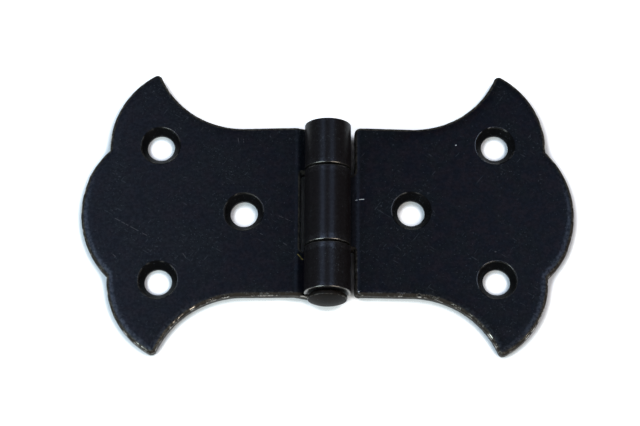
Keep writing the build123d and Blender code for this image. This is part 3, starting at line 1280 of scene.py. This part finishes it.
def blackened_sheet():
    """Finish of both leaves."""
    material, tree, film, steel = steel_material("blackened_sheet")
    m = maths(tree)
    paint = {label: painted(tree, label) for label in sheet_labels}
    parts = split_xyz(tree, object_place(tree))
    across, along = (m("DIVIDE", parts[axis], mm) for axis in "XY")
    flare = m(
        "MULTIPLY", ease(tree, m("ABSOLUTE", across), flare_from[0], flare_to[0], 1.0, 0.0),
        ease(tree, along, flare_to[1], flare_from[1], 1.0, 0.0),
    )
    colour = film_colour(tree, film, across, paint)
    colour, bare, lip = steel_over_film(tree, colour, film, flare, paint)
    matt = ease(tree, film["Clouds"], 0.0, 1.0, *film_rough)
    smoother = m("MAXIMUM", m("MULTIPLY", bare, bare_polish), m("MULTIPLY", lip, lip_polish))
    feed(tree, steel["Base Color"], colour)
    feed(tree, steel["Metallic"], m("MULTIPLY", bare, metal_gain, clamp=True))
    feed(tree, steel["Roughness"], m("SUBTRACT", matt, smoother, clamp=True))
    feed(tree, steel["Specular IOR Level"], film_specular)
    feed(tree, steel["Coat Weight"], oil_weight(tree, film, across, along, flare, paint))
    return material


sheet_finish = blackened_sheet()
print("blackened_sheet has", len(sheet_finish.node_tree.nodes), "nodes")

# %% Blackened pin
head_wear, head_ragged, head_bare = 0.10, 0.5, 0.12
head_rough = (0.6, 0.3)


def blackened_pin():
    """Finish of the pin: the same film, matt, and a little rubbed on the rim of the head."""
    material, tree, film, steel = steel_material("blackened_pin")
    m = maths(tree)
    colour = mix_colour(tree, film["Tint"], head_grey, head_brown)
    specks = m("MULTIPLY", use_group(tree, specks_group)["Specks"], speck_share)
    colour = mix_colour(tree, specks, colour, speck_grey)
    rim_gap = painted(tree, "edge_gap")
    edge = use_group(tree, edge_group, Gap=rim_gap, Width=head_wear, Raggedness=head_ragged)
    bare = m("MULTIPLY", edge["Bare"], head_bare)
    feed(tree, steel["Base Color"], mix_colour(tree, bare, colour, bare_steel))
    feed(tree, steel["Metallic"], bare)
    feed(tree, steel["Roughness"], ease(tree, bare, 0.0, head_bare, *head_rough))
    feed(tree, steel["Specular IOR Level"], head_specular)
    feed(tree, steel["Coat Weight"], head_gloss)
    return material


pin_finish = blackened_pin()
print("blackened_pin has", len(pin_finish.node_tree.nodes), "nodes")

# %% [markdown]
# ## Press both leaves
#
# The same die and the same press tool make both. Only the notches differ, and the left leaf is
# turned half round. A leaf then stands for the engineered solid of the same name.

# %% Leaves
def compare_box(thing, solid):
    """Print how far a piece's box is from the engineered solid's."""
    low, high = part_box(solid)
    points = np.array([vertex.co for vertex in thing.data.vertices])
    gaps = (points.min(axis=0) - low, points.max(axis=0) - high)
    print(solid, "differs from the engineered box by", *(np.round(gap / mm, 3) for gap in gaps), "mm")


tool = press_tool()
for name, tongues, turn, body in (
    ("left_leaf", left_tongues, pi, "left_side"), ("right_leaf", right_tongues, 0.0, "right_side")
):
    blank = stamped_blank(name + "_flat", tongues)
    leaf = press(name + "_pressed", blank, tool, sheet_finish, turn)
    compare_box(leaf, name)
    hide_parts(name)
    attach(leaf, body)

# %% [markdown]
# ## The pin
#
# The pin was turned from bar, so it is one profile spun about its axis. The profile runs from the
# plain end to the crown of the head, with a small arc at each corner and more points on the dome.

# %% Pin
head_radius = 2.6
head_standoff = 0.25
head_rim = 0.6
head_dome = 0.65
head_edge = 0.25
pin_setback = 0.3
pin_sides = 96
corner_steps = 5
dome_steps = 17


def pin_corner(radius, y):
    """Points round a corner of the pin, from its flat face to its side."""
    turns = quarter(corner_steps)
    return [(radius - head_edge * (1 - sin(a)), y - head_edge * (1 - cos(a))) for a in turns]


def pin_profile():
    """Points (radius, y) of the pin and their distance to the head's rim, plain end first."""
    plain_end = neck_half - pin_setback
    back = -neck_half - head_standoff
    front = back - head_rim
    dome_radius = (head_radius**2 + head_dome**2) / (2 * head_dome)
    dome_centre = front - head_dome + dome_radius
    lean = asin(head_radius / dome_radius)
    points = [(0.0, plain_end), (pin_radius - head_edge - support, plain_end)]
    points += pin_corner(pin_radius, plain_end)
    points += [(pin_radius, plain_end - head_edge - support), (pin_radius, back + support)]
    points += [(pin_radius, back), (head_radius - head_edge - support, back)]
    points += pin_corner(head_radius, back)
    swing = pi / 2 - lean
    flat = head_edge * tan(swing / 2)
    centre = (head_radius - head_edge, front + flat)
    for a in np.linspace(0, swing, corner_steps + 1):
        points.append((centre[0] + head_edge * cos(a), centre[1] - head_edge * sin(a)))
    start = asin(min(1.0, points[-1][0] / dome_radius))
    for a in np.linspace(start, 0, dome_steps + 1)[1:]:
        points.append((dome_radius * sin(a), dome_centre - dome_radius * cos(a)))
    return points, front


def turned_pin():
    """The pin as one closed mesh about its axis."""
    profile, front = pin_profile()
    places, gaps, rings = [], [], []
    for radius, y in profile:
        spokes = full_turn(pin_sides) if radius > tiny else np.zeros((1, 2))
        gap = hypot(max(head_radius - radius, 0), max(y - front, 0)) if y < -neck_half else sheet
        rings.append((len(places), len(spokes)))
        gaps += [gap] * len(spokes)
        places += [(radius * x, y, pin_height + radius * z) for x, z in spokes]
    faces = []
    for ring in zip(rings, rings[1:]):
        for i in range(pin_sides):
            low, high = ((first + i % count, first + (i + 1) % count) for first, count in ring)
            faces.append(list(dict.fromkeys([*low, *high[::-1]])))
    mesh = painted_mesh("turned_pin", np.array(places), faces, {"edge_gap": gaps})
    mesh.materials.append(pin_finish)
    return add_to_scene("turned_pin", mesh)


pin = turned_pin()
compare_box(pin, "hinge_pin")
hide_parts("hinge_pin")
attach(pin, "left_side")
